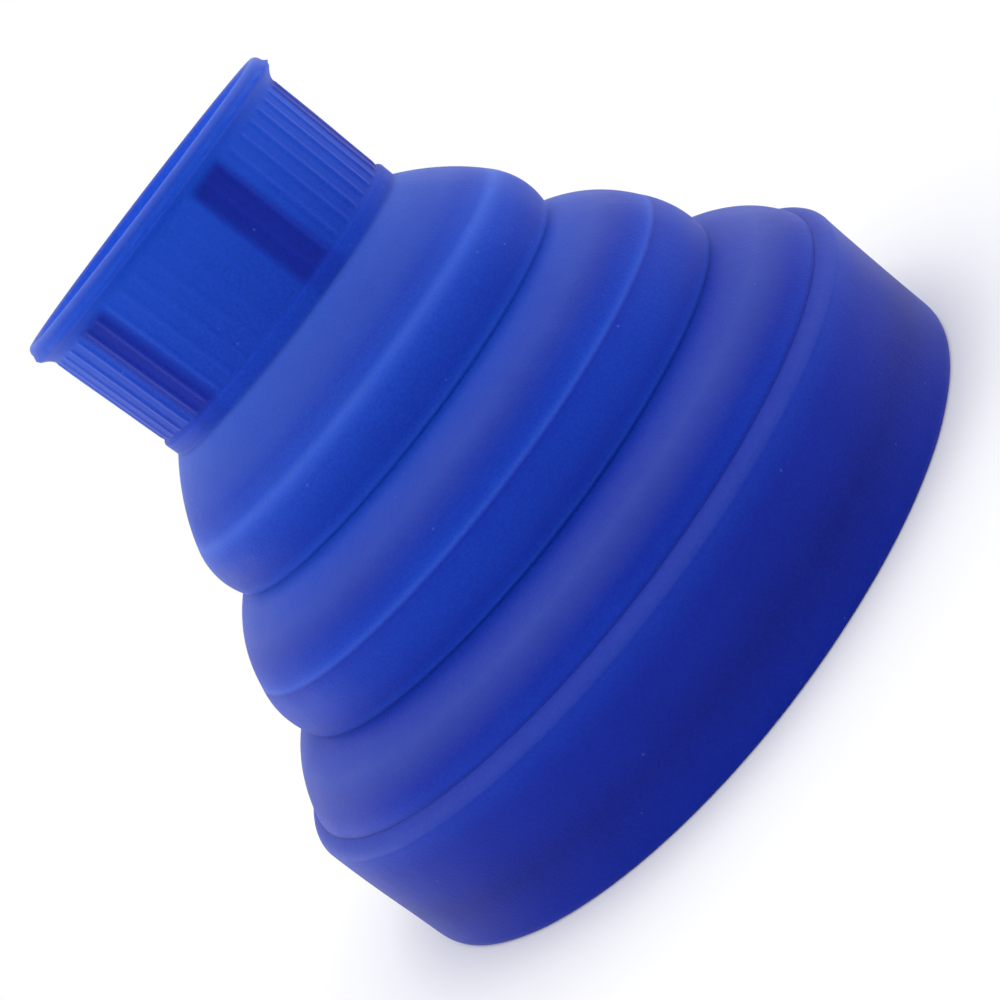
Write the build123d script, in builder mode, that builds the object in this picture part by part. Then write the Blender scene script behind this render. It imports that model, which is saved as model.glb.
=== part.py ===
"""Collapsible soft diffuser for a hair dryer, standing on its wide rim, collar upwards.

Millimetres. +Z runs up the axis, and the origin is at the centre of the rim's resting plane.
From the top down: a collar that grips the dryer's outlet, then three thin fold webs and two
firmer ring walls that nest into each other, then the rim skirt with the perforated face plate.
"""

import os

from build123d import *

os.makedirs("parts", exist_ok=True)

# Driving dimensions: radii are of the outer surface, heights are above the resting plane.
rim_radius = 62.0
skirt_height = 22.8
shoulder_radius = 59.5
shoulder_height = 25.1

lower_fold_radius = 48.5
lower_fold_height = 35.3
lower_ridge_radius = 47.4
lower_ridge_height = 45.2

upper_fold_radius = 36.9
upper_fold_height = 55.9
upper_ridge_radius = 36.05
upper_ridge_height = 65.8

root_radius = 26.4
root_height = 76.5

# Thicknesses of the moulding: firm walls, and the thin webs measured along the horizontal.
wall = 2.0
web = 1.9

# How far each ring wall hangs out over the groove under it, and how deep that groove is.
overhang = 0.45
groove_depth = 0.5
foot_round = 0.3

# How far each web and wall bulges from the straight line between its ends.
upper_web_bulge = 0.65
middle_web_bulge = 1.3
lower_web_bulge = 1.65
upper_wall_bulge = 1.0
lower_wall_bulge = 0.8
shoulder_bulge = 0.45

# Collar.
band_top = 79.4
collar_radius = 26.0
collar_wall_top = 99.2
lip_radius = 27.8
lip_bottom = 101.2
lip_top = 102.2
bead_radius = 27.4
total_height = 103.7
mouth_radius = 25.4
bore_radius = 24.2
grip_radius = 23.2
stop_radius = 21.7
stop_thickness = 1.5
seal_length = 3.0

# Ribs outside the collar and grip pads inside it.
rib_count = 52
rib_first = -163.6
rib_radius = 0.5
rib_proud = 0.25
rib_bottom = 80.4
rib_top = 98.4
pad_count = 6
pad_angle = 14.0
pad_first = -72.0
pad_top = 98.0
pad_lead_in = 5.0

# Face plate and its hair fingers.
plate_thickness = 2.0
plate_top = 12.5
plate_radius = 59.7
seat_radius = 57.8
snap_radius = 58.6
ledge_thickness = 1.4
seat_play = 0.05
finger_length = 9.5
finger_root_radius = 3.2
finger_tip_radius = 2.3
inner_finger_circle = 20.0
outer_finger_circle = 40.0

# Air holes of the face plate: (circle radius, count, hole radius, angle of the first one).
hole_rings = (
    (10.0, 6, 2.5, 30.0),
    (20.0, 6, 2.5, 30.0),
    (30.0, 12, 3.0, 0.0),
    (40.0, 12, 3.0, 15.0),
    (51.0, 24, 2.5, 7.5),
)


def web_section(inner, top, outer, bottom, bulge):
    """Half section of a thin fold web that runs outwards and down from (inner, top)."""
    with BuildSketch(Plane.XZ) as section:
        with BuildLine():
            skin = SagittaArc((inner, top), (outer, bottom), bulge)
            foot = Line(skin @ 1, (outer - web, bottom))
            lining = SagittaArc(foot @ 1, (inner - web, top), -bulge)
            Line(lining @ 1, skin @ 0)
        make_face()
    return section.sketch


def ring_section(ridge, top, fold, bottom, bulge):
    """Half section of a ring wall with a ridge at its top and an overhung groove at its foot."""
    edge = fold + overhang
    shelf_height = bottom + groove_depth
    with BuildSketch(Plane.XZ) as section:
        with BuildLine():
            skin = SagittaArc((ridge, top), (edge, shelf_height + foot_round), bulge)
            lining = Polyline(
                skin @ 1,
                (edge - foot_round, shelf_height),
                (fold, shelf_height),
                (fold, bottom),
                (fold - web, bottom),
                (ridge - web, top),
            )
            Line(lining @ 1, skin @ 0)
        make_face()
    return section.sketch


# Collar: band, ribbed wall, lip and bead outside; mouth, bore, seal ring and stop lip inside.
seal_bottom = root_height + stop_thickness
seal_top = seal_bottom + seal_length
rib_circle = collar_radius + rib_proud - rib_radius
with BuildPart() as collar:
    with BuildSketch(Plane.XZ):
        with BuildLine():
            band = Polyline(
                (root_radius, root_height),
                (root_radius, band_top - 0.4),
                (collar_radius, band_top),
                (collar_radius, collar_wall_top),
            )
            flare = SagittaArc(band @ 1, (lip_radius, lip_bottom), 0.35)
            flange = Line(flare @ 1, (lip_radius, lip_top))
            step = Line(flange @ 1, (bead_radius, lip_top + 0.2))
            crown = ThreePointArc(
                step @ 1,
                ((bead_radius + mouth_radius) / 2 + 0.2, total_height),
                (mouth_radius, lip_top + 0.4),
            )
            inside = Polyline(
                crown @ 1,
                (bore_radius, collar_wall_top),
                (bore_radius, seal_top + 1.0),
                (grip_radius, seal_top),
                (grip_radius, seal_bottom),
                (stop_radius, seal_bottom),
                (stop_radius, root_height),
            )
            Line(inside @ 1, band @ 0)
        make_face()
    revolve(axis=Axis.Z)
    # Fine axial ribs, most of each one sunk in the wall.
    with BuildSketch(Plane.XY.offset(rib_bottom)):
        with PolarLocations(rib_circle, rib_count, start_angle=rib_first):
            Circle(rib_radius)
    extrude(amount=rib_top - rib_bottom)
    # Grip pads, each with a sloping lead-in at its top.
    for pad in range(pad_count):
        turn = pad_first - pad_angle / 2 + pad * 360 / pad_count
        with BuildSketch(Plane.XZ.rotated((0, 0, turn))):
            Polygon(
                (grip_radius, seal_top),
                (bore_radius + 0.5, seal_top),
                (bore_radius + 0.5, pad_top),
                (bore_radius, pad_top),
                (grip_radius, pad_top - pad_lead_in),
                align=None,
            )
        revolve(axis=Axis.Z, revolution_arc=pad_angle)
collar.part.label = "collar"
export_step(collar.part, "parts/collar.step")

# The three fold webs turn inside out when the diffuser is pushed flat.
upper_web_ends = (root_radius, root_height, upper_ridge_radius, upper_ridge_height)
with BuildPart() as upper_web:
    revolve(web_section(*upper_web_ends, upper_web_bulge), axis=Axis.Z)
upper_web.part.label = "upper_web"
export_step(upper_web.part, "parts/upper_web.step")

middle_web_ends = (upper_fold_radius, upper_fold_height, lower_ridge_radius, lower_ridge_height)
with BuildPart() as middle_web:
    revolve(web_section(*middle_web_ends, middle_web_bulge), axis=Axis.Z)
middle_web.part.label = "middle_web"
export_step(middle_web.part, "parts/middle_web.step")

lower_web_ends = (lower_fold_radius, lower_fold_height, shoulder_radius, shoulder_height)
with BuildPart() as lower_web:
    revolve(web_section(*lower_web_ends, lower_web_bulge), axis=Axis.Z)
lower_web.part.label = "lower_web"
export_step(lower_web.part, "parts/lower_web.step")

# The two ring walls keep their shape and nest inside each other.
upper_ring_ends = (upper_ridge_radius, upper_ridge_height, upper_fold_radius, upper_fold_height)
with BuildPart() as upper_ring:
    revolve(ring_section(*upper_ring_ends, upper_wall_bulge), axis=Axis.Z)
upper_ring.part.label = "upper_ring"
export_step(upper_ring.part, "parts/upper_ring.step")

lower_ring_ends = (lower_ridge_radius, lower_ridge_height, lower_fold_radius, lower_fold_height)
with BuildPart() as lower_ring:
    revolve(ring_section(*lower_ring_ends, lower_wall_bulge), axis=Axis.Z)
lower_ring.part.label = "lower_ring"
export_step(lower_ring.part, "parts/lower_ring.step")

# Rim skirt: shoulder band and skirt outside, and inside it the seat and snap bead for the face plate.
inner_radius = rim_radius - wall
seat_height = plate_top + seat_play
snap_height = plate_top - plate_thickness - seat_play
with BuildPart() as rim_skirt:
    with BuildSketch(Plane.XZ):
        with BuildLine():
            outside = Polyline(
                (inner_radius + 0.4, 0),
                (rim_radius - 0.5, 0),
                (rim_radius, 0.6),
                (rim_radius, skirt_height),
            )
            shoulder = SagittaArc(outside @ 1, (shoulder_radius, shoulder_height), -shoulder_bulge)
            lining = Polyline(
                shoulder @ 1,
                (shoulder_radius - web, shoulder_height),
                (inner_radius, skirt_height - wall / 2),
                (inner_radius, seat_height + 2 * ledge_thickness),
                (seat_radius, seat_height + ledge_thickness),
                (seat_radius, seat_height),
                (inner_radius, seat_height),
                (inner_radius, snap_height),
                (snap_radius, snap_height),
                (snap_radius, snap_height - ledge_thickness / 2),
                (inner_radius, snap_height - 2 * ledge_thickness),
                (inner_radius, 0.4),
            )
            Line(lining @ 1, outside @ 0)
        make_face()
    revolve(axis=Axis.Z)
rim_skirt.part.label = "rim_skirt"
export_step(rim_skirt.part, "parts/rim_skirt.step")

# Face plate: a flat disc with rings of round air holes.
with BuildPart() as face_plate:
    with BuildSketch(Plane.XY.offset(plate_top - plate_thickness)):
        Circle(plate_radius)
        for circle_radius, count, hole_radius, first in hole_rings:
            with PolarLocations(circle_radius, count, start_angle=first):
                Circle(hole_radius, mode=Mode.SUBTRACT)
    extrude(amount=plate_thickness)
face_plate.part.label = "face_plate"
export_step(face_plate.part, "parts/face_plate.step")

# Hair fingers: short round-tipped prongs under the face plate, on two circles and at the centre.
finger_top = plate_top - plate_thickness
finger_tip = finger_top - finger_length
with BuildPart(mode=Mode.PRIVATE) as finger:
    with BuildSketch(Plane.XZ):
        with BuildLine():
            side = Polyline(
                (0, finger_top),
                (finger_root_radius, finger_top),
                (finger_tip_radius, finger_tip + finger_tip_radius),
            )
            tip = RadiusArc(side @ 1, (0, finger_tip), finger_tip_radius)
            Line(tip @ 1, side @ 0)
        make_face()
    revolve(axis=Axis.Z)

with BuildPart() as fingers:
    add(finger.part)
    with PolarLocations(inner_finger_circle, 6):
        add(finger.part)
    with PolarLocations(outer_finger_circle, 12):
        add(finger.part)
fingers.part.label = "fingers"
export_step(fingers.part, "parts/fingers.step")
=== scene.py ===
"""Looks of a collapsible soft diffuser for a hair dryer, standing on its rim, collar upwards.

The scene is in metres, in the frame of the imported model: +Z up the axis, origin at the centre of
the rim's resting plane. The silicone pieces are turned from outlines of (radius, height) points in
millimetres. Heights and outer radii come from the boxes of the CAD nodes, and the sizes that no
box gives are named below.
"""

import math

import bpy
import numpy as np
from mathutils import Matrix, Vector, noise


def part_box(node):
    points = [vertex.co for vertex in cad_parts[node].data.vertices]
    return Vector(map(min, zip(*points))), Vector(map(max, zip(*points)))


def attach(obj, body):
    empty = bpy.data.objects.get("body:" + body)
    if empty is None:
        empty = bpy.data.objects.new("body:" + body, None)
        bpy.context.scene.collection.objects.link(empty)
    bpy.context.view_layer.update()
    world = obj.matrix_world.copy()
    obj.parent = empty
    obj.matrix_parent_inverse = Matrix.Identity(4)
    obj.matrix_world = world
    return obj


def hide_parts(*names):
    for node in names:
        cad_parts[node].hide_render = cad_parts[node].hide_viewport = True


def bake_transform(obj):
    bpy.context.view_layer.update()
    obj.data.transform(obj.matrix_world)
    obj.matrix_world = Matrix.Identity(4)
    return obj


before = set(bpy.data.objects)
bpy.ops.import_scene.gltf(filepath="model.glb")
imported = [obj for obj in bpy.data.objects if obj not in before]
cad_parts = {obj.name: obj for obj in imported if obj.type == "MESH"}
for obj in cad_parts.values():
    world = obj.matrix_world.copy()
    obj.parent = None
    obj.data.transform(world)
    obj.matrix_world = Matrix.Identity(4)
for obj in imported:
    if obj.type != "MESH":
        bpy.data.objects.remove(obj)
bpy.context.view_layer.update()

MM = 0.001


def node_size(name):
    """Outer radius, bottom and top of a round CAD node, in millimetres."""
    low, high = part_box(name)
    return high[0] / MM, low[2] / MM, high[2] / MM


# ---- Sizes, in millimetres

rim_radius, _, shoulder_height = node_size("rim_skirt")
shoulder_radius, _, lower_fold_height = node_size("lower_web")
lower_ridge_radius, lower_ridge_height, upper_fold_height = node_size("middle_web")
upper_ridge_radius, upper_ridge_height, root_height = node_size("upper_web")
lip_radius, _, total_height = node_size("collar")
plate_radius, plate_bottom, plate_top = node_size("face_plate")

WALL = 2.0
WEB = 1.6
THIN_WEB = 1.2
OVERHANG = 0.45
LOWER_FOLD_RADIUS = 48.5
UPPER_FOLD_RADIUS = 36.9
ROOT_RADIUS = 26.4
SKIRT_HEIGHT = 22.8
# The skirt is this much smaller than its CAD node, so that its waver stays inside the node's box.
SKIRT_INSET = 0.18

# Bulges of each dome and of the wall under its ridge, and of the web above the rim.
UPPER_BULGES = (0.65, 1.0)
LOWER_BULGES = (1.3, 0.8)
RIM_WEB_BULGE = 1.65

# How far the ends of a skin run into the pieces beside them, across and along the axis, so that no
# gap opens at the seam, and how far the foot of a ring wall runs inwards over the web under it.
TUCK_ACROSS = 0.35
TUCK_ALONG = 0.9
FOOT_REACH = 0.9

# Slow and fine unevenness of the soft moulding, and the sideways lean of its middle.
SLOW_WAVER = 0.10
FINE_WAVER = 0.05
FINENESS = 2.7
WAVER_AROUND = 2.2
WAVER_UP = 0.045
LEAN = 0.6
LEAN_HEIGHT = 31.0
LEAN_REACH = 8.0

# Collar, from the root up. Flare and flange heights are measured down from the top.
BAND_HEIGHT = 3.0
COLLAR_LOW_RADIUS = 25.8
COLLAR_HIGH_RADIUS = 26.1
FLARE_START = 4.6
FLANGE_BOTTOM = 2.6
FLANGE_TOP = 1.5
BEAD_RADIUS = 27.35
MOUTH_RADIUS = 25.6
BORE_RADIUS = 24.2
GRIP_RADIUS = 23.2
STOP_RADIUS = 21.7
STOP_THICKNESS = 1.5
SEAL_LENGTH = 3.0
RIBS = 52
RIB_FIRST = math.radians(-163.6)
RIB_RISE = 0.20
RIB_WIDTH = 0.5
PADS = 6
PAD_FIRST = math.radians(-72.0)
PAD_HALF_ANGLE = math.radians(7.0)
FLASH_RISE = 0.3
FLASH_WIDTH = 0.22
FLASH_AROUND = 9.0
LIP_DROOP = 0.25

RING_STEPS = 384
COLLAR_STEPS = RIBS * 16


# ---- Curves of one variable

def bell(distance, width):
    """1 at no distance, falling to 1/e at the width."""
    return math.exp(-((distance / width) ** 2))


def step_up(value, low, high):
    """0 up to low, 1 from high, and a smooth step between them."""
    share = min(1.0, max(0.0, (value - low) / (high - low)))
    return share * share * (3.0 - 2.0 * share)


# ---- Outlines

def arc_points(start, end, sag, spacing):
    """Points from start to end, bulging by sag to the left of the way from start to end."""
    start, end = np.array(start, float), np.array(end, float)
    chord = end - start
    length = float(np.hypot(*chord))
    count = max(2, int(math.ceil(length / spacing)) + 1)
    share = np.linspace(0.0, 1.0, count)
    left = np.array((-chord[1], chord[0])) / max(length, 1e-9)
    bow = 4.0 * sag * share * (1.0 - share)
    return start + share[:, None] * chord + bow[:, None] * left


# Stretches are first drawn this many times finer than the points that are kept.
REFINEMENT = 6.0
# A rounded corner takes at most this share of the stretch on either side of it.
LARGEST_CUT = 0.45
CORNER_SHARES = (0.2, 0.4, 0.6, 0.8)
SAME_POINT = 1e-4


def outline(steps, closed, spacing=0.6):
    """Joins steps of (radius, height, sag, soft) into one line of points.

    sag bows the stretch that leads to the point, and soft rounds the corner at the point.
    """
    stretches = []
    for k in range(0 if closed else 1, len(steps)):
        before, here = steps[k - 1], steps[k]
        stretch = arc_points(before[:2], here[:2], here[2], spacing / REFINEMENT)
        cut_start = 0.0 if not closed and k == 1 else before[3]
        cut_end = 0.0 if not closed and k == len(steps) - 1 else here[3]
        along = np.r_[0.0, np.cumsum(np.hypot(*np.diff(stretch, axis=0).T))]
        room = along[-1]
        first = min(cut_start, LARGEST_CUT * room)
        last = room - min(cut_end, LARGEST_CUT * room)
        number = max(2, int(math.ceil((last - first) / spacing)) + 1)
        wanted = np.linspace(first, last, number)
        radii = np.interp(wanted, along, stretch[:, 0])
        heights = np.interp(wanted, along, stretch[:, 1])
        stretches.append((np.c_[radii, heights], stretch[-1], cut_end))
    line = []
    for k, (kept, corner, soft) in enumerate(stretches):
        line.extend(kept)
        if soft > 0 and (closed or k < len(stretches) - 1):
            start, end = kept[-1], stretches[(k + 1) % len(stretches)][0][0]
            for share in CORNER_SHARES:
                line.append(
                    (1 - share) ** 2 * start + 2 * share * (1 - share) * corner + share**2 * end
                )
    cleaned = [line[0]]
    for point in line[1:]:
        if np.hypot(*(point - cleaned[-1])) > SAME_POINT:
            cleaned.append(point)
    if closed and np.hypot(*(cleaned[0] - cleaned[-1])) < SAME_POINT:
        cleaned.pop()
    return np.array(cleaned)


def waver(angle, height):
    """Unevenness and lean of the soft moulding, as millimetres of radius."""
    near = Vector((WAVER_AROUND * math.cos(angle), WAVER_AROUND * math.sin(angle), height * WAVER_UP))
    lean = LEAN * math.cos(angle) * bell(height - LEAN_HEIGHT, LEAN_REACH)
    return SLOW_WAVER * noise.noise(near) + FINE_WAVER * noise.noise(near * FINENESS) + lean


def new_piece(name, mesh):
    """Object with this mesh, linked into the scene."""
    piece = bpy.data.objects.new(name, mesh)
    bpy.context.scene.collection.objects.link(piece)
    return piece


def smooth_mesh(name, verts, faces):
    """Smooth shaded mesh."""
    mesh = bpy.data.meshes.new(name)
    mesh.from_pydata(verts, [], faces)
    mesh.polygons.foreach_set("use_smooth", [True] * len(faces))
    return mesh


def turned(name, line, steps, closed, tone, relief=None):
    """Mesh object made by turning the line about Z, with two point attributes: the depth of the blue,
    with painted shade and painted pale lines, and the share of painted highlight.

    tone(angle, radius, height) gives both. relief(angle, radius, height) gives extra radius and
    extra height in millimetres.
    """
    rows = len(line)
    verts = []
    depths = []
    highlights = []
    for angle in 2.0 * math.pi * np.arange(steps) / steps:
        cosine, sine = math.cos(angle), math.sin(angle)
        for radius, height in line:
            out = radius + waver(angle, height)
            up = height
            if relief:
                extra_out, extra_up = relief(angle, radius, height)
                out += extra_out
                up += extra_up
            verts.append((out * cosine * MM, out * sine * MM, up * MM))
            depth, highlight = tone(angle, radius, height)
            depths.append(depth)
            highlights.append(highlight)
    faces = []
    for k in range(steps):
        here, there = k * rows, ((k + 1) % steps) * rows
        for j in range(rows if closed else rows - 1):
            after = (j + 1) % rows
            faces.append((here + j, here + after, there + after, there + j))
    mesh = smooth_mesh(name, verts, faces)
    mesh.attributes.new("depth", "FLOAT", "POINT").data.foreach_set("value", depths)
    mesh.attributes.new("highlight", "FLOAT", "POINT").data.foreach_set("value", highlights)
    mesh.update()
    return new_piece(name, mesh)


# ---- How deep the silicone looks, with its painted shade and painted highlights

# Depth of the colour up the outside, as (height, depth): 0 is pale and 1 deep. Partly the thickness
# of the silicone, as the thick skirt and ring walls look deep. Partly painted light: painted shade
# makes it deeper towards the bottom and in thin dark lines at the grooves, and painted pale lines
# light the thin ridges and the feet of the ring walls as if light shone through them.
DEPTHS_AND_SHADING = (
    (0.0, 0.76), (9.0, 0.92), (14.0, 0.80), (18.5, 0.76), (22.0, 0.62), (24.0, 0.72),
    (25.0, 0.74), (25.6, 0.62), (28.0, 0.72), (30.0, 0.78), (32.0, 0.74), (34.9, 0.68),
    (36.0, 0.48), (37.4, 0.65), (40.0, 0.57), (43.0, 0.56), (44.5, 0.62), (44.8, 0.74),
    (45.3, 0.34), (46.6, 0.54), (50.0, 0.70), (52.0, 0.64), (55.3, 0.46), (56.6, 0.34),
    (58.2, 0.56), (60.5, 0.55), (64.2, 0.42), (65.5, 0.22), (66.3, 0.26), (67.0, 0.42),
    (69.0, 0.52), (73.0, 0.46), (76.0, 0.28), (77.0, 0.46), (81.0, 0.47), (90.0, 0.38),
    (98.0, 0.27), (99.2, 0.25), (101.0, 0.28), (103.0, 0.34), (103.7, 0.36),
)
# Painted lavender highlight up the outside, as (height, share): the sheen of the top light on the
# domes and the lip, with thin painted highlight lines on the ridges and along the feet of the ring
# walls.
PAINTED_HIGHLIGHTS = (
    (0.0, 0.0), (20.0, 0.01), (22.6, 0.02), (23.0, 0.13), (23.9, 0.18), (24.8, 0.10),
    (25.3, 0.0), (27.5, 0.0), (30.0, 0.16), (32.0, 0.27), (34.2, 0.12), (35.3, 0.0),
    (35.7, 0.02), (36.0, 0.10), (36.5, 0.0), (44.7, 0.0), (45.3, 0.12), (46.0, 0.0),
    (48.2, 0.02), (50.2, 0.14), (52.1, 0.25), (54.9, 0.17), (55.9, 0.0), (56.3, 0.02),
    (56.6, 0.12), (57.2, 0.0), (63.6, 0.02), (65.2, 0.14), (65.9, 0.28), (66.8, 0.08),
    (69.0, 0.10), (71.1, 0.22), (73.5, 0.27), (76.2, 0.30), (77.0, 0.0), (102.4, 0.0),
    (103.1, 0.30), (103.7, 0.45),
)
# Depths of the bore, painted pale as if lit through its thin wall, of the bore over a grip pad,
# painted darker where the thick pad lets less light through, and of a pad seen through the collar's
# wall as painted shade.
BORE_GLOW_DEPTH = 0.14
BORE_PAD_SHADE_DEPTH = 0.39
PAD_SHADE_DEPTH = 0.76


def plain_tone(angle, radius, height):
    """Depth, with painted shade and pale lines, and painted highlight of the outside at this height.
    """
    return float(np.interp(height, *zip(*DEPTHS_AND_SHADING))), float(np.interp(height, *zip(*PAINTED_HIGHLIGHTS)))


def pad_share(angle, soft):
    """1 over a grip pad, 0 between pads, with edges that fade over the angle soft."""
    spacing = 2.0 * math.pi / PADS
    offset = abs((angle - PAD_FIRST + spacing / 2.0) % spacing - spacing / 2.0)
    return 1.0 - step_up(offset, PAD_HALF_ANGLE - soft / 2.0, PAD_HALF_ANGLE + soft / 2.0)


# ---- Silicone pieces

def soft_skin(name, steps, thickness=WEB):
    """Open skin, made thick inwards.
    """
    line = outline(steps, closed=False, spacing=0.3)
    piece = turned(name, line, RING_STEPS, False, plain_tone)
    thick = piece.modifiers.new("thickness", "SOLIDIFY")
    thick.thickness = thickness * MM
    thick.offset = -1.0
    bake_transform(piece)
    return piece


def stage(name, inner, top, ridge, ridge_height, fold, bottom, bulges, thickness):
    """A domed fold web and the ring wall under its ridge, down into the fold groove."""
    dome_bulge, wall_bulge = bulges
    steps = (
        (inner - TUCK_ACROSS, top + TUCK_ALONG, 0.0, 0.0),
        (inner + 0.05, top + 0.1, 0.0, 0.25),
        (ridge, ridge_height, dome_bulge, 0.8),
        (fold + OVERHANG, bottom + 0.7, wall_bulge, 0.5),
        (fold + 0.05, bottom + 0.1, 0.0, 0.2),
        (fold - FOOT_REACH, bottom + 0.1, 0.0, 0.0),
    )
    return soft_skin(name, steps, thickness)


def make_rim_web():
    """The fold web between the lower ring's foot and the rim's shoulder."""
    steps = (
        (LOWER_FOLD_RADIUS - TUCK_ACROSS, lower_fold_height + TUCK_ALONG, 0.0, 0.0),
        (LOWER_FOLD_RADIUS + 0.05, lower_fold_height + 0.1, 0.0, 0.25),
        (shoulder_radius - 0.1, shoulder_height + 0.1, RIM_WEB_BULGE, 0.4),
        (shoulder_radius, shoulder_height - TUCK_ALONG, 0.0, 0.0),
    )
    return soft_skin(
        "lower_web_skin", steps
    )


def collar_relief(angle, radius, height):
    """Ribs outside, grip pads inside, the parting flash round the lip, and a lip that droops."""
    out = 0.0
    low, high = root_height + BAND_HEIGHT + 0.4, total_height - FLARE_START - 0.3
    if radius > 25.5 and low - 1.0 < height < high + 1.0:
        pitch = 2.0 * math.pi / RIBS
        offset = ((angle - RIB_FIRST) / pitch + 0.5) % 1.0 - 0.5
        rising = step_up(height, low - 0.5, low + 0.3)
        ends = rising * (1.0 - step_up(height, high - 0.2, high + 0.4))
        out += RIB_RISE * ends * bell(offset * pitch * radius, RIB_WIDTH)
    if radius < 24.6 and height > root_height + STOP_THICKNESS + SEAL_LENGTH:
        lead_in = 1.0 - step_up(height, total_height - 10.7, total_height - 5.5)
        out -= (BORE_RADIUS - GRIP_RADIUS) * lead_in * pad_share(angle, 0.03)
    if radius > lip_radius - 0.35:
        seam = total_height - (FLANGE_BOTTOM + FLANGE_TOP) / 2.0
        near = Vector((FLASH_AROUND * math.cos(angle), FLASH_AROUND * math.sin(angle), 0.0))
        ragged = max(0.0, 0.6 + noise.noise(near))
        out += FLASH_RISE * ragged * bell(height - seam, FLASH_WIDTH)
    drooping = step_up(height, total_height - 7.0, total_height - 2.0)
    return out, LIP_DROOP * (math.sin(angle) - 1.0) * drooping


def collar_tone(angle, radius, height):
    """Bore painted pale as if lit through its wall, painted shade over the grip pads, and a thin
    painted highlight under the lip.
    """
    depth, highlight = plain_tone(angle, radius, height)
    inner_edge = BORE_RADIUS + 0.8 + 0.8 * step_up(height, total_height - 4.0, total_height - 0.8)
    # Inside, the bore is painted pale as if lit through its thin wall, and darker over the thick grip
    # pads, where less light comes through.
    if radius < inner_edge and root_height + 1.0 < height < total_height - 0.4:
        below_mouth = 1.0 - step_up(height, 94.0, 97.0)
        pad = pad_share(angle, 0.1) * below_mouth
        return BORE_GLOW_DEPTH + (BORE_PAD_SHADE_DEPTH - BORE_GLOW_DEPTH) * pad, 0.0
    # Outside, painted shade where the thick grip pads let less light through the wall, stronger on
    # one side of the collar.
    pad_low, pad_high = root_height + BAND_HEIGHT, total_height - FLARE_START
    along = 0.35 + 0.65 * step_up(height, pad_low - 0.6, pad_low + 0.8)
    along *= 1.0 - step_up(height, pad_high - 0.8, pad_high + 1.6)
    strength = 0.84 + 0.16 * math.cos(angle - PAD_FIRST)
    depth += strength * (PAD_SHADE_DEPTH - depth) * along * pad_share(angle, 0.08)
    # A thin painted highlight along the lower edge of the flange.
    highlight += 0.10 * bell(height - (total_height - FLANGE_BOTTOM), 0.18)
    return depth, highlight


def make_collar():
    """Collar: root, stop lip, seal ring, bore, mouth, bead, flange, flare, ribbed wall and band."""
    band = root_height + BAND_HEIGHT
    stop = root_height + STOP_THICKNESS
    seal = stop + SEAL_LENGTH
    line = outline(
        (
            (ROOT_RADIUS, root_height - 0.3, 0.0, 0.1),
            (STOP_RADIUS, root_height, 0.0, 0.3),
            (STOP_RADIUS, stop, 0.0, 0.2),
            (GRIP_RADIUS, stop, 0.0, 0.1),
            (GRIP_RADIUS, seal, 0.0, 0.3),
            (BORE_RADIUS, seal + 1.0, 0.0, 0.4),
            (BORE_RADIUS, total_height - FLARE_START, 0.0, 1.0),
            (MOUTH_RADIUS, total_height - 0.9, 0.15, 0.5),
            (MOUTH_RADIUS + 0.8, total_height, 0.12, 0.4),
            (BEAD_RADIUS, total_height - 0.7, 0.12, 0.4),
            (BEAD_RADIUS + 0.12, total_height - FLANGE_TOP + 0.1, 0.0, 0.2),
            (lip_radius - 0.15, total_height - FLANGE_TOP - 0.1, 0.0, 0.25),
            (lip_radius - 0.1, total_height - FLANGE_BOTTOM, 0.0, 0.3),
            (COLLAR_HIGH_RADIUS, total_height - FLARE_START, -0.2, 0.8),
            (COLLAR_LOW_RADIUS, band + 0.15, 0.0, 0.3),
            (ROOT_RADIUS + 0.05, band - 0.35, 0.0, 0.3),
        ),
        closed=True,
        spacing=0.45,
    )
    return turned("collar_shell", line, COLLAR_STEPS, True, collar_tone, collar_relief)


def make_rim():
    """Rim: shoulder and skirt outside; inside, the snap bead and the seat of the face plate."""
    inside, outside = rim_radius - WALL, rim_radius - SKIRT_INSET
    seat, snap = plate_top + 0.05, plate_bottom - 0.05
    line = outline(
        (
            (shoulder_radius - WALL, shoulder_height - 0.2, 0.0, 0.2),
            (shoulder_radius - 0.3, shoulder_height - 0.1, 0.0, 0.1),
            (shoulder_radius + 0.15, shoulder_height - 0.2, 0.0, 0.25),
            (outside, SKIRT_HEIGHT, 0.4, 0.35),
            (outside, 1.0, 0.0, 0.8),
            (outside - 0.4, 0.0, 0.0, 0.4),
            (inside + 0.4, 0.0, 0.0, 0.3),
            (inside, 0.8, 0.0, 0.5),
            (inside, snap - 2.6, 0.0, 0.3),
            (inside - 1.4, snap - 0.7, 0.0, 0.3),
            (inside - 1.4, snap, 0.0, 0.1),
            (inside, snap, 0.0, 0.1),
            (inside, seat, 0.0, 0.1),
            (inside - 2.2, seat, 0.0, 0.1),
            (inside - 2.2, seat + 1.4, 0.0, 0.3),
            (inside, seat + 2.8, 0.0, 0.5),
            (inside, SKIRT_HEIGHT - 1.0, 0.0, 0.5),
        ),
        closed=True,
        spacing=0.5,
    )
    return turned("rim_shell", line, RING_STEPS, True, plain_tone)


# ---- Face plate and hair fingers

PLATE_EDGE = 0.35
FINGER_LENGTH = 9.5
FINGER_STEPS = 40
FINGER_CIRCLES = ((0.0, 1), (20.0, 6), (40.0, 12))
# Rings of air holes: circle radius, count, hole radius, angle of the first hole.
HOLE_RINGS = (
    (10.0, 6, 2.5, 30.0),
    (20.0, 6, 2.5, 30.0),
    (30.0, 12, 3.0, 0.0),
    (40.0, 12, 3.0, 15.0),
    (51.0, 24, 2.5, 7.5),
)
# Handle length of a Bezier circle of four points, as a share of its radius.
CIRCLE_HANDLE = 0.5523


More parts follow.
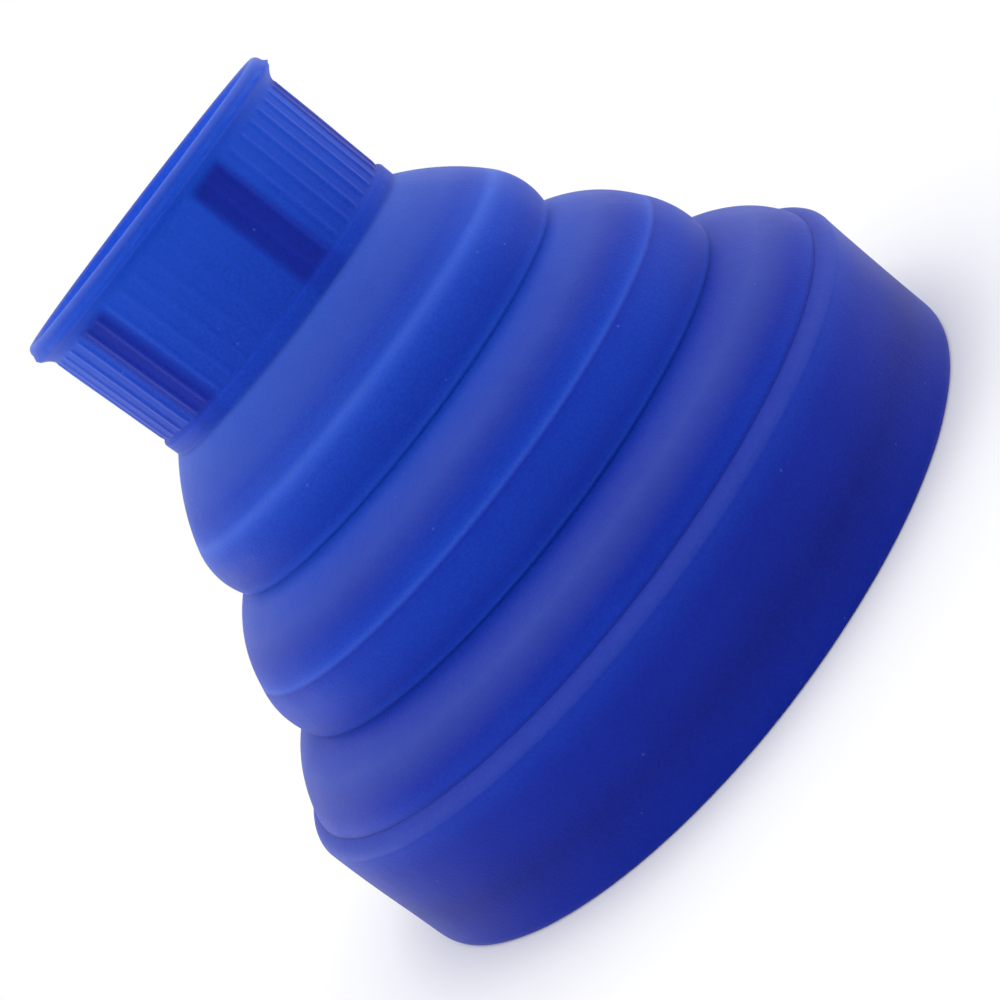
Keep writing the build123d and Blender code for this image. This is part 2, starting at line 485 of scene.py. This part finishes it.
def add_circle(curve, x, y, radius):
    """Closed Bezier circle, in millimetres, in a flat curve."""
    spline = curve.splines.new("BEZIER")
    spline.bezier_points.add(3)
    centre = Vector((x, y, 0.0))
    reach = CIRCLE_HANDLE * radius
    for k, point in enumerate(spline.bezier_points):
        angle = math.pi / 2.0 * k
        out = Vector((math.cos(angle), math.sin(angle), 0.0))
        side = Vector((-math.sin(angle), math.cos(angle), 0.0))
        point.co = (centre + radius * out) * MM
        point.handle_left = (centre + radius * out - reach * side) * MM
        point.handle_right = (centre + radius * out + reach * side) * MM
    spline.use_cyclic_u = True


def make_plate():
    """Perforated disc whose rim and holes have rounded edges."""
    thickness = plate_top - plate_bottom
    curve = bpy.data.curves.new("face_plate_outline", "CURVE")
    curve.dimensions = "2D"
    curve.fill_mode = "BOTH"
    curve.resolution_u = 24
    curve.extrude = (thickness / 2.0 - PLATE_EDGE) * MM
    curve.bevel_depth = PLATE_EDGE * MM
    curve.bevel_resolution = 3
    curve.offset = -PLATE_EDGE * MM
    add_circle(curve, 0.0, 0.0, plate_radius)
    for circle, count, hole, first in HOLE_RINGS:
        for k in range(count):
            angle = math.radians(first + 360.0 * k / count)
            add_circle(curve, circle * math.cos(angle), circle * math.sin(angle), hole)
    flat = new_piece("face_plate_outline", curve)
    bpy.context.view_layer.update()
    depsgraph = bpy.context.evaluated_depsgraph_get()
    mesh = bpy.data.meshes.new_from_object(flat.evaluated_get(depsgraph))
    bpy.data.objects.remove(flat)
    bpy.data.curves.remove(curve)
    mesh.name = "perforated_plate"
    mesh.transform(Matrix.Translation((0, 0, (plate_top + plate_bottom) / 2.0 * MM)))
    return new_piece("perforated_plate", mesh)


def make_fingers():
    """Round-tipped prongs, each with a small fillet where it leaves the plate."""
    tip = plate_bottom - FINGER_LENGTH
    line = outline(
        (
            (0.0, plate_bottom + 0.2, 0.0, 0.0),
            (4.0, plate_bottom + 0.2, 0.0, 0.0),
            (4.0, plate_bottom, 0.0, 0.0),
            (3.1, plate_bottom - 1.0, -0.15, 0.3),
            (2.3, tip + 2.2, 0.0, 0.3),
            (0.0, tip, 0.85, 0.0),
        ),
        closed=False,
        spacing=0.5,
    )
    # The line's two ends are on the prong's own axis, and become one point each.
    inner = line[1:-1]
    rows = len(inner)
    verts, faces = [], []
    for circle, count in FINGER_CIRCLES:
        for k in range(count):
            turn = 2.0 * math.pi * k / count
            x, y = circle * math.cos(turn), circle * math.sin(turn)
            first = len(verts)
            for j in range(FINGER_STEPS):
                angle = 2.0 * math.pi * j / FINGER_STEPS
                verts.extend(
                    ((x + r * math.cos(angle)) * MM, (y + r * math.sin(angle)) * MM, z * MM)
                    for r, z in inner
                )
            verts.append((x * MM, y * MM, line[0][1] * MM))
            verts.append((x * MM, y * MM, line[-1][1] * MM))
            top, bottom = len(verts) - 2, len(verts) - 1
            for j in range(FINGER_STEPS):
                here, there = first + j * rows, first + (j + 1) % FINGER_STEPS * rows
                faces.append((top, here, there))
                for i in range(rows - 1):
                    faces.append((here + i, here + i + 1, there + i + 1, there + i))
                faces.append((here + rows - 1, bottom, there + rows - 1))
    mesh = smooth_mesh("hair_fingers", verts, faces)
    mesh.update()
    return new_piece("hair_fingers", mesh)


# ---- Materials

# Blues of the silicone from pale to deep, as (depth, (r, g, b)).
SILICONE_BLUES = (
    (0.0, (0.0120, 0.1050, 0.800)),
    (0.25, (0.0085, 0.0680, 0.530)),
    (0.55, (0.0030, 0.0345, 0.395)),
    (0.75, (0.0024, 0.0170, 0.310)),
    (1.0, (0.0022, 0.0080, 0.185)),
)
PLASTIC_BLUES = ((0.3, (0.0040, 0.026, 0.27)), (0.75, (0.0075, 0.046, 0.38)))
# Colour of the painted highlight.
HIGHLIGHT_COLOUR = (0.10, 0.16, 0.47, 1.0)
DUST_COLOUR = (0.16, 0.26, 0.62, 1.0)

# How much the slow cloudiness and the fine mottling of the pigment change the depth.
CLOUDINESS = 0.16
MOTTLING = 0.36

# Dust: cells with a redness over DUST_LIMIT hold a speck, which fades out between two distances
# (in cells) from its centre.
DUST_CELLS = 300.0
DUST_EDGE, DUST_CORE = 0.08, 0.03
DUST_LIMIT = 0.80
DUST_STRENGTH = 0.22


def node(tree, kind, **settings):
    """New shader node; a setting names a property, or an input socket if it ends in _."""
    made = tree.nodes.new(kind)
    for key, value in settings.items():
        if key.endswith("_"):
            made.inputs[key[:-1].replace("_", " ")].default_value = value
        else:
            setattr(made, key, value)
    return made


def new_material(name):
    """Material, its node tree, its Principled shader, and the output of object coordinates."""
    material = bpy.data.materials.new(name)
    material.use_nodes = True
    tree = material.node_tree
    place = node(tree, "ShaderNodeTexCoord").outputs["Object"]
    return material, tree, tree.nodes["Principled BSDF"], place


def noise_texture(tree, place, **settings):
    """Output of a noise texture read at place."""
    made = node(tree, "ShaderNodeTexNoise", **settings)
    tree.links.new(place, made.inputs["Vector"])
    return made.outputs["Fac"]


def calculate(tree, operation, *operands):
    """Output of a Math node; an operand is an output of another node, or a number."""
    made = node(tree, "ShaderNodeMath", operation=operation)
    for socket, operand in zip(made.inputs, operands):
        if isinstance(operand, float):
            socket.default_value = operand
        else:
            tree.links.new(operand, socket)
    return made.outputs[0]


def remap(tree, value, low, high, start=0.0, end=1.0, **settings):
    """Output that goes from low to high while value goes from start to end."""
    made = node(tree, "ShaderNodeMapRange", **settings)
    made.inputs["From Min"].default_value = start
    made.inputs["From Max"].default_value = end
    made.inputs["To Min"].default_value = low
    made.inputs["To Max"].default_value = high
    tree.links.new(value, made.inputs["Value"])
    return made.outputs["Result"]


def mix_colour(tree, share, under, colour):
    """Output of the colour under, covered by a share of another colour."""
    made = node(tree, "ShaderNodeMix", data_type="RGBA")
    made.inputs["B"].default_value = colour
    tree.links.new(share, made.inputs["Factor"])
    tree.links.new(under, made.inputs["A"])
    return made.outputs["Result"]


def colour_ramp(tree, value, stops):
    """Output of a colour ramp from (position, (r, g, b)) stops."""
    made = node(tree, "ShaderNodeValToRGB")
    elements = made.color_ramp.elements
    while len(elements) < len(stops):
        elements.new(1.0)
    for element, (position, colour) in zip(elements, stops):
        element.position = position
        element.color = (*colour, 1.0)
    tree.links.new(value, made.inputs["Fac"])
    return made.outputs["Color"]


def add_bump(tree, shader, height, strength, distance):
    """Bump of the shader's surface."""
    bump = node(tree, "ShaderNodeBump", Strength_=strength, Distance_=distance)
    tree.links.new(height, bump.inputs["Height"])
    tree.links.new(bump.outputs["Normal"], shader.inputs["Normal"])


def make_silicone():
    """Translucent blue silicone, coloured by the depth, with its painted shade, and by the painted
    highlight of each point.
    """
    material, tree, shader, place = new_material("silicone")
    link = tree.links.new

    # Colour: the depth of each point, with its painted shade and pale lines, slow cloudiness of the
    # pigment and fine mottling.
    depth = node(tree, "ShaderNodeAttribute", attribute_name="depth").outputs["Fac"]
    cloud = noise_texture(tree, place, Scale_=42.0, Detail_=4.0, Roughness_=0.6)
    mottle = noise_texture(tree, place, Scale_=2400.0, Detail_=2.0, Roughness_=0.7)
    clouded = calculate(tree, "MULTIPLY_ADD", cloud, CLOUDINESS, depth)
    mottled = calculate(tree, "MULTIPLY_ADD", mottle, MOTTLING, clouded)
    centred = calculate(tree, "SUBTRACT", mottled, (CLOUDINESS + MOTTLING) / 2.0)
    blue = colour_ramp(tree, centred, SILICONE_BLUES)

    # Painted lavender highlight, made uneven by noise.
    highlight = node(tree, "ShaderNodeAttribute", attribute_name="highlight").outputs["Fac"]
    patchy = noise_texture(tree, place, Scale_=160.0, Detail_=4.0, Roughness_=0.65)
    share = calculate(tree, "MULTIPLY", highlight, remap(tree, patchy, 0.70, 1.30))
    highlighted = mix_colour(tree, share, blue, HIGHLIGHT_COLOUR)

    # Sparse pale specks of dust.
    cells = node(tree, "ShaderNodeTexVoronoi", Scale_=DUST_CELLS)
    link(place, cells.inputs["Vector"])
    near = remap(tree, cells.outputs["Distance"], 0.0, 1.0, DUST_EDGE, DUST_CORE)
    chosen = node(tree, "ShaderNodeSeparateColor")
    link(cells.outputs["Color"], chosen.inputs["Color"])
    few = calculate(tree, "GREATER_THAN", chosen.outputs["Red"], DUST_LIMIT)
    speck = calculate(tree, "MULTIPLY", near, few)
    faint = calculate(tree, "MULTIPLY", speck, DUST_STRENGTH)
    link(mix_colour(tree, faint, highlighted, DUST_COLOUR), shader.inputs["Base Color"])

    # Roughness and bump: the fine matt skin of the mould, with a few rubbed patches.
    patch = noise_texture(tree, place, Scale_=90.0, Detail_=3.0)
    link(remap(tree, patch, 0.42, 0.58), shader.inputs["Roughness"])
    grain = noise_texture(tree, place, Scale_=2600.0, Detail_=3.0, Roughness_=0.65)
    dents = noise_texture(tree, place, Scale_=420.0, Detail_=2.0)
    surface = calculate(tree, "MULTIPLY_ADD", dents, 0.6, grain)
    add_bump(tree, shader, surface, 0.5, 0.00012)

    shader.inputs["IOR"].default_value = 1.41
    shader.inputs["Specular IOR Level"].default_value = 0.12
    shader.inputs["Sheen Weight"].default_value = 0.10
    shader.inputs["Sheen Roughness"].default_value = 0.35
    shader.inputs["Sheen Tint"].default_value = (0.72, 0.76, 0.95, 1.0)
    shader.inputs["Subsurface Weight"].default_value = 0.5
    shader.inputs["Subsurface Radius"].default_value = (0.15, 0.35, 1.0)
    shader.inputs["Subsurface Scale"].default_value = 0.0022
    return material


def make_plastic():
    """Stiffer moulded plastic of the same blue, satin, with faint flow marks."""
    material, tree, shader, place = new_material("plate_plastic")
    flow = noise_texture(tree, place, Scale_=30.0, Detail_=3.0, Distortion_=0.6)
    tree.links.new(colour_ramp(tree, flow, PLASTIC_BLUES), shader.inputs["Base Color"])
    tree.links.new(remap(tree, flow, 0.28, 0.42), shader.inputs["Roughness"])
    grain = noise_texture(tree, place, Scale_=1800.0, Detail_=2.0)
    add_bump(tree, shader, grain, 0.2, 0.00006)
    shader.inputs["IOR"].default_value = 1.49
    return material


# ---- The object

silicone = make_silicone()
plastic = make_plastic()


def finish_piece(piece, material, slot, body, *nodes):
    """Gives a piece its material, hides its CAD nodes, and hangs it on its body if it has one; slot
    is not used.
    """
    piece.data.materials.clear()
    piece.data.materials.append(material)
    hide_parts(*nodes)
    if body:
        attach(piece, body)


finish_piece(make_collar(), silicone, "silicone", "collar", "collar")
finish_piece(make_rim(), silicone, "silicone", "rim", "rim_skirt")
upper_stage = stage(
    "upper_stage_skin",
    ROOT_RADIUS, root_height,
    upper_ridge_radius, upper_ridge_height,
    UPPER_FOLD_RADIUS, upper_fold_height,
    UPPER_BULGES, THIN_WEB,
)
finish_piece(upper_stage, silicone, "silicone", None, "upper_web", "upper_ring")
lower_stage = stage(
    "lower_stage_skin",
    UPPER_FOLD_RADIUS, upper_fold_height,
    lower_ridge_radius, lower_ridge_height,
    LOWER_FOLD_RADIUS, lower_fold_height,
    LOWER_BULGES, WEB,
)
finish_piece(lower_stage, silicone, "silicone", None, "middle_web", "lower_ring")
finish_piece(make_rim_web(), silicone, "silicone", None, "lower_web")
finish_piece(make_plate(), plastic, "plate", "rim", "face_plate")
finish_piece(make_fingers(), plastic, "plate", "rim", "fingers")


# ---- Floor, light and camera

# The floor fades out between these distances from the axis, in metres.
FLOOR_SOLID = 0.066
FLOOR_CLEAR = 0.22


def make_floor():
    """Pale disc that fades into the background, so that it has no edge."""
    bpy.ops.mesh.primitive_circle_add(vertices=128, radius=1.6, fill_type="NGON")
    floor = bpy.context.object
    floor.name = "floor"
    material, tree, shader, place = new_material("floor")
    link = tree.links.new
    shader.inputs["Base Color"].default_value = (0.86, 0.86, 0.87, 1.0)
    shader.inputs["Roughness"].default_value = 0.9
    shader.inputs["Specular IOR Level"].default_value = 0.0
    distance = node(tree, "ShaderNodeVectorMath", operation="LENGTH")
    link(place, distance.inputs[0])
    fade = remap(
        tree, distance.outputs["Value"], 1.0, 0.0, FLOOR_SOLID, FLOOR_CLEAR,
        interpolation_type="SMOOTHSTEP",
    )
    clear = node(tree, "ShaderNodeBsdfTransparent")
    mix = node(tree, "ShaderNodeMixShader")
    link(fade, mix.inputs["Fac"])
    link(clear.outputs[0], mix.inputs[1])
    link(shader.outputs[0], mix.inputs[2])
    link(mix.outputs[0], tree.nodes["Material Output"].inputs["Surface"])
    floor.data.materials.append(material)


def softbox(name, place, aim, size, power):
    """Rectangular area light at place, turned to aim."""
    data = bpy.data.lights.new(name, "AREA")
    data.shape = "RECTANGLE"
    data.size, data.size_y = size
    data.energy = power
    lamp = bpy.data.objects.new(name, data)
    bpy.context.scene.collection.objects.link(lamp)
    lamp.location = place
    lamp.rotation_euler = (Vector(aim) - Vector(place)).to_track_quat("-Z", "Y").to_euler()


make_floor()

world = bpy.data.worlds.new("studio")
bpy.context.scene.world = world
world.use_nodes = True
background = world.node_tree.nodes["Background"]
background.inputs["Color"].default_value = (1.0, 1.0, 1.0, 1.0)
background.inputs["Strength"].default_value = 1.0

middle = (0.0, 0.0, 0.05)
softbox("top_light", (0.0, 0.1, 0.9), middle, (0.7, 0.7), 2.0)
softbox("left_light", (-0.8, -0.2, 0.45), middle, (0.4, 0.8), 1.0)
softbox("low_left_light", (-0.55, 0.32, 0.03), (0.0, 0.0, 0.03), (0.35, 0.12), 0.4)
softbox("right_light", (0.8, 0.1, 0.4), middle, (0.4, 0.8), 1.0)

# Camera: a little above the mouth, looking down, and rolled so that the axis lies slantwise.
# Its distance and height are in rim radii.
CAMERA_DISTANCE = 5.158
CAMERA_HEIGHT = 1.761
PITCH = math.radians(13.48)
PAN = math.radians(0.486)
ROLL = math.radians(52.6)
camera_data = bpy.data.cameras.new("camera")
camera_data.sensor_width = 36.0
camera_data.lens = 76.5
camera_data.shift_x = -0.0015
camera_data.shift_y = 0.002
camera = bpy.data.objects.new("camera", camera_data)
bpy.context.scene.collection.objects.link(camera)
rim_metres = rim_radius * MM
camera.matrix_world = (
    Matrix.Translation((0.0, -CAMERA_DISTANCE * rim_metres, CAMERA_HEIGHT * rim_metres))
    @ Matrix.Rotation(PAN, 4, "Z")
    @ Matrix.Rotation(math.pi / 2.0 - PITCH, 4, "X")
    @ Matrix.Rotation(-ROLL, 4, "Z")
)
bpy.context.scene.camera = camera
bpy.context.scene.view_settings.view_transform = "Standard"
